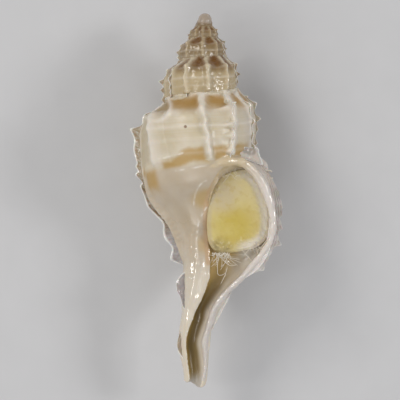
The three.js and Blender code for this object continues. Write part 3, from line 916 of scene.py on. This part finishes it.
# fine threads at the mouth: x, y, z in mm from the apex and the axis; groups: count, from x, to x,
# y, z, shortest, longest, seed, heading, spread in degrees, radius
threads = {
    "radius": 0.019,
    "stubRadius": 0.06,
    "groups": [[15, 0.75, 1.9, -19.3, 1.28, 0.7, 1.7, 12, -75, 45, 0.015],
        [26, 0.7, 1.95, -19.34, 1.3, 0.15, 0.4, 5, -70, 150, 0.018],
        [44, 0.62, 1.95, -19.3, 1.3, 0.03, 0.12, 3, -70, 180, 0.055],
        [9, 1.3, 3, -12.95, 2.7, 0.3, 0.8, 8, -150, 120, 0.013],
        [12, 3.4, 4.5, -18.75, 1.5, 0.2, 0.6, 9, -60, 70, 0.014]],
    "paths": [
        [[0.9, -19.6, 1.2], [1, -20.3, 1.15], [1.05, -20.9, 1.05], [1.4, -20.95, 1], [1.7, -20.75, 1]],
        [[1.3, -19.45, 1.2], [1.6, -19.85, 1.25], [2, -20.2, 1.2], [2.5, -20.15, 1.1]],
        [[1.8, -20.3, 1.15], [1.6, -21, 1], [1.25, -21.7, 0.8]],
        [[2.8, -18.75, 1.25], [3.3, -19.35, 1.3], [3.8, -19.9, 1.2]],
        [[3.1, -19.4, 1.2], [3.4, -19.05, 1.3], [3.75, -18.75, 1.3]],
        [[4.58, -17.6, 1.5], [4.95, -18, 1.6], [4.6, -18.6, 1.5], [4.2, -19, 1.4], [4.28, -19.4, 1.35]],
        [[0.65, -19.95, 1.2], [0.85, -19.7, 1.25], [1, -19.45, 1.2]],
        [[1.6, -13.1, 2.4], [1.95, -12.95, 2.5], [2.3, -13.05, 2.4]],
        [[2.1, -12.7, 2.5], [1.85, -13.1, 2.5], [1.4, -13.65, 2.4]],
    ],
    "stubs": [
        [[4.75, -12.55, 1.1], [5, -12.62, 1.15], [5.25, -12.65, 1.15], [5.34, -12.75, 1.1]],
        [[5.1, -13.2, 1.2], [5.3, -13.25, 1.25], [5.42, -13.2, 1.2]],
    ],
}


def strands(count, fromX, toX, y, z, shortest, longest, seed, down, spread):  # curling, from a row of starts
    rng = np.random.default_rng(seed)
    found = []
    for i in range(count):
        spot = np.array([np.interp(i + rng.uniform(), [0, count], [fromX, toX]),
                         y + rng.uniform(-0.12, 0.12), z + rng.uniform(-0.06, 0.1)])
        heading = math.radians(down + rng.uniform(-1, 1) * spread)
        curl = rng.uniform(-1, 1)
        path = [spot]
        for _ in range(5):
            heading += curl * rng.uniform(0, 0.5)
            step = rng.uniform(shortest, longest) / 5
            spot = spot + step * np.array([math.cos(heading), math.sin(heading), rng.uniform(-0.25, 0.15)])
            path.append(spot)
        found.append(path)
    return found


def threadPiece():
    found = [(path, 26, radius, 6) for *look, radius in threads["groups"] for path in strands(*look)]
    for kind, radius in (("paths", "radius"), ("stubs", "stubRadius")):
        found += [(path, 9 * len(path), threads[radius], 7) for path in threads[kind]]
    return lofts("mouth_threads", [
        {"rows": tube(np.column_stack([spline(path, count), np.full(count, radius)]), sides)}
        for path, count, radius, sides in found])


class Wire:  # an output socket that takes part in sums
    def __init__(self, build, socket):
        self.build = build
        self.socket = socket

    def maths(self, kind, a, b):
        return self.build.node("ShaderNodeMath", {"operation": kind}, {0: a, 1: b})

    def __add__(self, other):
        return self.maths("ADD", self, other)

    def __sub__(self, other):
        return self.maths("SUBTRACT", self, other)

    def __rsub__(self, other):
        return self.maths("SUBTRACT", other, self)

    def __mul__(self, other):
        return self.maths("MULTIPLY", self, other)

    def step(self, low, high, bottom=0, top=1):  # a soft step, from bottom below low to top above high
        if low > high:
            low, high, bottom, top = high, low, top, bottom
        return self.build.node("ShaderNodeMapRange", {"interpolation_type": "SMOOTHSTEP"}, {
            "Value": self, "From Min": low, "From Max": high, "To Min": bottom, "To Max": top})

    def band(self, low, lowFull, highFull, high):
        return self.step(low, lowFull) * self.step(high, highFull)

    __radd__ = __add__
    __rmul__ = __mul__


class Finish:  # a material's node tree, and the sRGB colours that it knows by name
    def __init__(self, name, look):
        self.look = look
        self.material = bpy.data.materials.new(name)
        self.material.use_nodes = True
        self.tree = self.material.node_tree
        self.tree.nodes.clear()

    def node(self, kind, settings, sockets, out=0):
        made = self.tree.nodes.new(kind)
        for name, value in settings.items():
            setattr(made, name, value)
        for name, value in sockets.items():
            if isinstance(value, Wire):
                self.tree.links.new(value.socket, made.inputs[name])
            else:
                made.inputs[name].default_value = value
        return Wire(self, made.outputs[out])

    def values(self, names):
        return [self.node("ShaderNodeAttribute", {"attribute_name": name}, {}, "Fac")
                for name in names.split()]

    def where(self):
        return self.node("ShaderNodeTexCoord", {}, {}, "Object")

    def along(self, spot, axis):
        return self.node("ShaderNodeSeparateXYZ", {}, {0: spot}, axis)

    def noise(self, vector, scale, detail=3):
        return self.node("ShaderNodeTexNoise", {}, {
            "Vector": vector, "Scale": scale, "Detail": detail, "Roughness": 0.55})

    def linear(self, colour):
        if isinstance(colour, Wire):
            return colour
        return (*[v / 12.92 if v <= 0.04045 else ((v + 0.055) / 1.055) ** 2.4
                  for v in (channel / 255 for channel in self.look[colour])], 1)

    def blend(self, factor, a, b):
        return self.node("ShaderNodeMix", {"data_type": "RGBA"}, {
            0: factor, 6: self.linear(a), 7: self.linear(b)}, 2)

    def coats(self, colour, *layers):  # lays colours over a first one, each with its factor
        for factor, layer in layers:
            colour = self.blend(factor, colour, layer)
        return colour

    def combine(self, x, y, z):
        return self.node("ShaderNodeCombineXYZ", {}, {0: x, 1: y, 2: z})

    def bump(self, height, distance, strength):
        return self.node("ShaderNodeBump", {}, {"Height": height, "Distance": distance, "Strength": strength})

    def near(self, spot, mark):  # 1 inside the inner radius of a mark, 0 outside the outer one
        *centre, inner, outer = mark
        gap = self.node("ShaderNodeVectorMath", {"operation": "DISTANCE"}, {
            0: spot, 1: tuple(toRow(np.array(centre)))}, "Value")
        return gap.step(outer * mm, inner * mm)

    def surface(self, colour, roughness, **others):  # other sockets by name, with underscores for spaces
        sockets = {name.replace("_", " "): value for name, value in others.items()}
        shader = self.node("ShaderNodeBsdfPrincipled", {}, dict(sockets, **{
            "Base Color": colour, "Roughness": roughness}))
        end = self.tree.nodes.new("ShaderNodeOutputMaterial")
        self.tree.links.new(shader.socket, end.inputs["Surface"])
        return self.material


shellLook = {
    "cream": (208, 195, 168), "paleCream": (216, 205, 184), "butter": (206, 190, 146), "tan": (184, 149, 83),
    "rampTan": (175, 135, 65), "leftStrip": (190, 176, 146), "dip": (158, 136, 96), "white": (232, 224, 212),
    "lilac": (202, 191, 182), "speck": (128, 96, 66), "bulb": (170, 155, 138), "spire": (146, 120, 76),
    "spirePale": (178, 158, 120), "spireDark": (124, 98, 56), "spireTip": (130, 108, 78),
    "spireBroad": (196, 178, 142), "spireRamp": (112, 70, 6), "spireRib": (214, 202, 176),
    "tipRib": (178, 160, 128), "base": (196, 180, 156), "basePale": (205, 191, 170),
    "baseTan": (196, 166, 108), "baseLow": (178, 160, 130), "pillar": (220, 210, 192),
    "columella": (198, 166, 128), "line": (244, 238, 228), "recess": (186, 166, 126),
    "slotDark": (190, 163, 102), "slotGrey": (214, 205, 190), "slotEdgeLight": (208, 180, 126),
    "slotLowShade": (114, 92, 42), "tip": (186, 180, 170), "lipTan": (214, 196, 162), "lipWhite": (224, 216, 208),
    "lipLow": (212, 205, 198),
}
# marks on the shell: x, y, z, inner and outer radius in mm
shellMarks = {
    "bulb": [0.0, -0.52, 0.1, 0.58, 0.7],
    "speck": [-1.54, -9.18, 4.3, 0.08, 0.17],
    "mouthTan": [0.0, -14.7, 2.3, 0.5, 1.5],
    "pillarTan": [0.1, -18.5, 1.5, 0.3, 1.1],
    "baseShade": [-1.9, -16.6, 2.0, 0.4, 2.2],
    "pillarGloss": [-1.1, -21.2, 1.0, 2.5, 5.2],
}


def shellMaterial():
    f = Finish("shellPorcelain", shellLook)
    (turn, depth, gap, white, cord, callus, inside, across, rim, rimRun, columella, line, suture, recess, dip,
     front) = f.values(shellValues)
    spot = f.where()
    height = f.along(spot, 1)
    cloud = f.noise(spot, 420)
    blot = f.noise(spot, 900, 4)
    streaks = f.noise(f.combine(turn * 3, depth * 40, 0), 1)
    growthLines = f.noise(f.combine(turn * 70, depth * 3, 0), 2.2, 4)
    bulb, speck, mouthTan, pillarTan, baseShade, pillar = [f.near(spot, mark) for mark in shellMarks.values()]
    body = turn.step(-1.02, -0.97)
    onBack = turn.step(-0.55, -0.35) * 0.5

    spire = f.coats(
        "spire",
        (depth.step(0.25, 0.85), "spirePale"),
        (blot.step(0.42, 0.62) * 0.55, "spireDark"),
        (turn.step(-2.15, -1.9) * depth.step(0.3, 0.5) * 0.75, "spireBroad"),
        (turn.step(-2, -3.2) * 0.45, "spireTip"))
    ramp = f.blend(body, "spireRamp", "rampTan")
    rib = f.blend(body, f.blend(turn.step(-2, -3), "spireRib", "tipRib"), "white")
    ragged = depth + (blot - 0.5) * 0.12 + (cloud - 0.5) * 0.1
    below = ragged - turn.step(-0.72, -0.64, 0.92, 1.07)
    lower = below.band(-0.05, 0.06, 0.17, 0.29) * body * (1 - turn.band(-0.63, -0.612, -0.53, -0.5))
    upper = (ragged + (1 - body) * 0.05).step(0.03, 0.08) * ragged.step(0.38, 0.16) * turn.step(-0.1, -0.25)
    strip = turn.band(-0.58, -0.555, -0.49, -0.46) * depth.band(0.25, 0.34, 1, 1.1)
    patch = turn.band(-0.602, -0.57, -0.53, -0.5) * ragged.band(1.1, 1.24, 1.34, 1.54)
    base = f.coats(
        "base",
        (cloud.step(0.3, 0.7), "basePale"),
        (height.step(-0.0035, -0.007), "pillar"),
        (mouthTan * 0.8, "baseTan"),
        (pillarTan * 0.6, "baseTan"),
        (baseShade * 0.5, "baseLow"))
    # the lower slot floor, whose dark colour is partly its own olive-brown and partly painted shade of the
    # deep groove
    lowFloorShade = height.step(-0.0045, -0.0095) * across.step(0.9, 0.35) * across.step(-1, -0.5, 0.45, 1)
    hollow = f.coats(
        "slotDark",
        (across.step(0, 0.85), "slotGrey"),
        # painted light: the upper walls of the mouth bowl are painted lighter grey to lift the shade in the
        # bowl
        (height.step(-0.0035, -0.0005) * 0.7, "slotGrey"),
        # painted light: the left side of the slot is painted brighter tan against the shade of its left wall
        (across.step(-0.3, -0.9) * 0.6, "slotEdgeLight"),
        # partly olive-brown, partly painted shade: darker down the lower slot
        (lowFloorShade * 0.85, "slotLowShade"),
        (height.step(-0.0136, -0.0147) * 0.85, "tip"))
    lip = f.coats(
        "lipTan",
        (rimRun.step(0.12, 0.3), "lipWhite"),
        (rimRun.step(0.5, 0.62), "lipLow"),
        (blot.step(0.45, 0.65) * 0.3, "lilac"))
    colour = f.coats(
        "cream",
        (cloud.step(0.35, 0.65), "paleCream"),
        (streaks.step(0.45, 0.7) * 0.35, "butter"),
        (1 - body, spire),
        (lower * gap.step(0.12, 0.55) * (0.9 - onBack), "tan"),
        (upper * (gap - body * 0.12).step(0.04, 0.2) * (0.95 - onBack), ramp),
        (turn.step(-0.87, -0.93) * body * depth.step(0.25, 0.4) * 0.6, "lilac"),
        (turn.step(-0.16, -0.06) * 0.85, "lilac"),
        (cord * (0.22 + body * 0.1), "white"),
        (strip * 0.75, "leftStrip"),
        (dip * 0.8, "dip"),
        (white * 0.8, rib),
        # the suture lumps painted rib white: partly their own white, partly a painted glint
        (suture * 0.6, rib),
        (bulb, "bulb"),
        (callus, base),
        (patch * 0.9, "tan"),
        (columella * 0.8, "columella"),
        # folds painted near-white: partly pale ridges, partly a painted highlight
        (line * 0.7, "line"),
        # the hollow beside the upper left rim: partly its own olive-grey, partly painted shade under the lip
        (recess * 0.85, f.blend(blot.step(0.35, 0.65), "recess", "lipTan")),
        (inside, hollow),
        (rim, lip),
        (speck * 0.85, "speck"))

    gloss = f.node("ShaderNodeMath", {"operation": "MAXIMUM"}, {0: callus, 1: rim})
    upperBase = callus * height.step(-0.0025, -0.0005)
    rough = 0.36 - gloss * 0.14 + upperBase * 0.14 - (1 - body) * 0.1 + (blot - 0.5) * 0.14
    coat = gloss * (0.25 + pillar * front * 0.45 + rim * 0.4 - inside * 0.25)
    return f.surface(
        colour, rough, Normal=f.bump(growthLines * 0.7 + blot * 0.3, 0.00003, 0.5),
        Coat_Weight=coat - upperBase * 0.24 + (1 - body) * 0.25 + bulb * 0.5,
        Coat_Roughness=0.04, Coat_IOR=1.7,
        Subsurface_Weight=0.35, Subsurface_Radius=(1.0, 0.75, 0.5), Subsurface_Scale=0.0006, IOR=1.5)


bladeLook = {
    "lilac": (240, 232, 226), "lilacDark": (212, 202, 196), "cornerToneAndLight": (228, 210, 194),
    "left": (156, 140, 112), "leftLow": (120, 102, 72), "leftEnd": (158, 151, 148), "right": (190, 180, 154),
    "rightDark": (164, 150, 118), "spire": (186, 172, 144), "spireDark": (158, 140, 108),
    "front": (230, 222, 210), "streak": (226, 221, 212), "edge": (248, 244, 238), "windowShade": (160, 149, 136),
}
# clear spots in the corner of the frill, painted darker as painted shade seen through them: x, y, z, inner
# and outer radius in mm
windows = [[3.15, -11.02, 2.6, 0.15, 0.4], [3.5, -11.1, 2.3, 0.2, 0.45], [3.85, -11.12, 2, 0.15, 0.4]]


def bladeMaterial():
    f = Finish("lamellaGlass", bladeLook)
    edge, turn, depth = f.values("edge turn depth")
    spot = f.where()
    cloud = f.noise(spot, 900, 4)
    streak = f.noise(f.combine(edge * 3, depth * 26, turn * 20), 1)
    shut = 1 - f.near(spot, windows[0])
    for mark in windows[1:]:
        shut = shut * (1 - f.near(spot, mark))
    colour = f.coats(
        "lilac",
        (cloud, "lilacDark"),
        # near the suture the blades are painted rosy beige, brightened as painted light against their shade
        (depth.step(0.5, 0.3) * 0.8, "cornerToneAndLight"),
        (turn.step(-0.3, -0.38), f.coats(
            "left", (depth.step(1.1, 1.4), "leftLow"), (depth.step(1.8, 2), "leftEnd"))),
        (turn.step(-0.7, -0.8), "front"),
        (turn.step(-0.88, -0.91), f.blend(cloud, "right", "rightDark")),
        (turn.step(-1, -1.1), f.blend(cloud, "spire", "spireDark")),
        (streak.step(0.42, 0.66) * 0.35, "streak"),
        # the free edges of the blades painted bright: partly their own cream rim, partly a painted highlight
        (edge.step(0.78, 0.95) * 0.85, "edge"),
        # painted shade in the clear spots
        ((1 - shut) * 0.7, "windowShade"))
    upperLeft = turn.band(-0.56, -0.52, -0.46, -0.42) * depth.step(1.3, 1.1)
    clear = edge.band(0.2, 0.5, 0.88, 1) * (1 - upperLeft * 0.8)
    return f.surface(
        colour, 0.26, Alpha=1 - clear * (0.04 + 0.16 * streak.step(0.45, 0.65)),
        Coat_Weight=0.25, Coat_Roughness=0.08, Normal=f.bump(streak + cloud * 0.6, 0.00006, 0.6),
        Subsurface_Weight=0.15, Subsurface_Scale=0.0004, IOR=1.5)


operculumLook = {
    "horn": (212, 196, 144), "yellow": (206, 184, 92), "top": (206, 190, 156), "cloud": (222, 208, 142),
    "grain": (192, 166, 76), "margin": (228, 219, 200), "leftMargin": (196, 180, 146), "low": (150, 132, 78),
    "lump": (232, 220, 178),
}
# marks on the operculum: x, y, z, inner and outer radius in mm
operculumMarks = {
    "yellow": [2.3, -17.0, 1.4, 0.6, 2.9],
    "top": [1.4, -14.6, 2.2, 0.5, 2.0],
    # painted shade under the lumps at the lower edge of the operculum
    "low": [1.3, -18.75, 1.45, 0.35, 1.05],
}


def operculumMaterial():
    f = Finish("operculumHorn", operculumLook)
    margin, lump = f.values("margin lump")
    spot = f.where()
    side = f.along(spot, 0)
    cloud = f.noise(spot, 500, 4)
    grain = f.noise(spot, 1900)
    fine = f.noise(spot, 3600, 2)
    yellow, top, low = [f.near(spot, mark) for mark in operculumMarks.values()]
    colour = f.coats(
        "horn",
        (yellow, "yellow"),
        (top * 0.8, "top"),
        (cloud.step(0.45, 0.7) * 0.45, "cloud"),
        (grain.step(0.5, 0.68) * 0.3, "grain"),
        (margin.step(1, 0.45) * side.step(0.0019, 0.0034), "margin"),
        (margin.step(0.5, 0.2) * side.step(0.0026, 0.001) * 0.6, "leftMargin"),
        # painted shade: darker olive under the lumps
        (low * (grain + cloud).step(0.85, 1.15, 0.4, 0.9), "low"),
        # painted highlight: the lumps are painted pale as glints
        (lump.step(0.3, 1) * 0.45, "lump"))
    return f.surface(
        colour, 0.26 + fine * 0.16, Normal=f.bump(grain * 0.6 + fine * 0.5 + cloud * 0.5, 0.00005, 0.5),
        Coat_Weight=0.25, Coat_Roughness=0.1,
        Subsurface_Weight=0.3, Subsurface_Radius=(1.0, 0.8, 0.3), Subsurface_Scale=0.0005, IOR=1.45)


def plainMaterial(name, grainScale, look, roughness):  # two close colours in a fine grain
    f = Finish(name, look)
    return f.surface(f.blend(f.noise(f.where(), grainScale, 2), "pale", "dark"), roughness)


threadLook = {"pale": (240, 234, 220), "dark": (216, 206, 186)}
floorLook = {"pale": (206, 206, 207), "dark": (200, 200, 201)}


def dress(piece, material, node, angle=60):
    piece.data.materials.clear()
    piece.data.materials.append(material)
    piece.data.shade_smooth()
    piece.data.set_sharp_from_angle(angle=math.radians(angle))
    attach(piece, "root")
    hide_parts(node)


# the photo's view: mm of the shell in a pixel, the pixel column of the axis and the row of the apex
view = {
    "pixel": 0.08,
    "axisAt": 204.8,
    "apexAt": 12.8,
    "pixels": 400,
    "distance": 320,
    "sensor": 36,
    "clipStart": 0.01,
}


def makeCamera():
    middle = view["pixels"] / 2
    x = (middle - view["axisAt"]) * view["pixel"] + place["axisX"]
    y = (view["apexAt"] - middle) * view["pixel"] + place["apexY"]
    cam = bpy.data.cameras.new("camera")
    cam.sensor_width = view["sensor"]
    cam.lens = view["sensor"] * view["distance"] / (view["pixels"] * view["pixel"])
    cam.clip_start = view["clipStart"]
    eye = addObject("camera", cam)
    eye.location = (x * mm, y * mm, (view["distance"] + place["axisZ"]) * mm)
    bpy.context.scene.camera = eye
    return Vector((x * mm, y * mm, place["axisZ"] * mm))


# each lamp: place round the shell in mm, size in mm, power in watts, colour
lamps = {
    "upperLeft": [(-160, 150, 180), (100, 100), 0.26, (1.0, 0.97, 0.93)],
    "upperRight": [(230, 30, 150), (60, 60), 0.23, (0.99, 0.99, 1.0)],
    "side": [(-143, -20, 205), (9, 200), 0.1, (1.0, 0.99, 0.97)],
    "below": [(-60, -190, 150), (100, 100), 0.11, (1.0, 1.0, 1.0)],
}
sky = {"colour": (0.97, 0.975, 1.0, 1), "strength": 0.34}


def makeLight(target):
    for name, (spot, size, power, colour) in lamps.items():
        data = bpy.data.lights.new(name, "AREA")
        data.shape = "RECTANGLE"
        data.size, data.size_y = (side * mm for side in size)
        data.energy = power
        data.color = colour
        lamp = addObject(name, data)
        lamp.location = target + Vector(spot) * mm
        lamp.rotation_euler = (target - lamp.location).to_track_quat("-Z", "Y").to_euler()
    world = bpy.data.worlds.new("studio")
    world.use_nodes = True
    for i, value in enumerate(sky.values()):
        world.node_tree.nodes["Background"].inputs[i].default_value = value
    bpy.context.scene.world = world
    bpy.context.scene.view_settings.view_transform = "Standard"


def makeFloor():
    size = 0.6
    corners = np.array([(-size, -size, 0), (size, -size, 0), (size, size, 0), (-size, size, 0)])
    floor = meshPiece("floor", corners, [[0, 1, 2, 3]])
    floor.data.materials.append(plainMaterial("floorPale", 300, floorLook, 0.9))


target = makeCamera()
makeLight(target)
makeFloor()
print("camera, light and floor placed")

body = shellBody()
remesh(body)
dressSkin(body)
dress(body, shellMaterial(), "shell")

glass = bladeMaterial()
glassPieces = {
    "lamella_blades": lamellaParts() + [
        flarePart(lamella["blade"], leftBlade["edge"], -1 + leftBlade["key"][1] / 360, leftBlade["lean"])],
    "lip_frill": [flarePart(frill["blade"], frill["edge"], *skirt) for skirt in frill["skirts"]],
    "pillar_flanges": [platePart(*plate) for plate in plates["list"]],
}
for name, parts in glassPieces.items():
    piece = lofts(name, parts, ("edge", "turn", "depth"))
    dress(piece, glass, "shell", 50)
    print(name, len(piece.data.polygons), "faces")

plate = operculumPiece()
dress(plate, operculumMaterial(), "operculum")
fibres = threadPiece()
dress(fibres, plainMaterial("threadPale", 2500, threadLook, 0.3), "operculum")
print("operculum:", len(plate.data.polygons), "threads:", len(fibres.data.polygons))
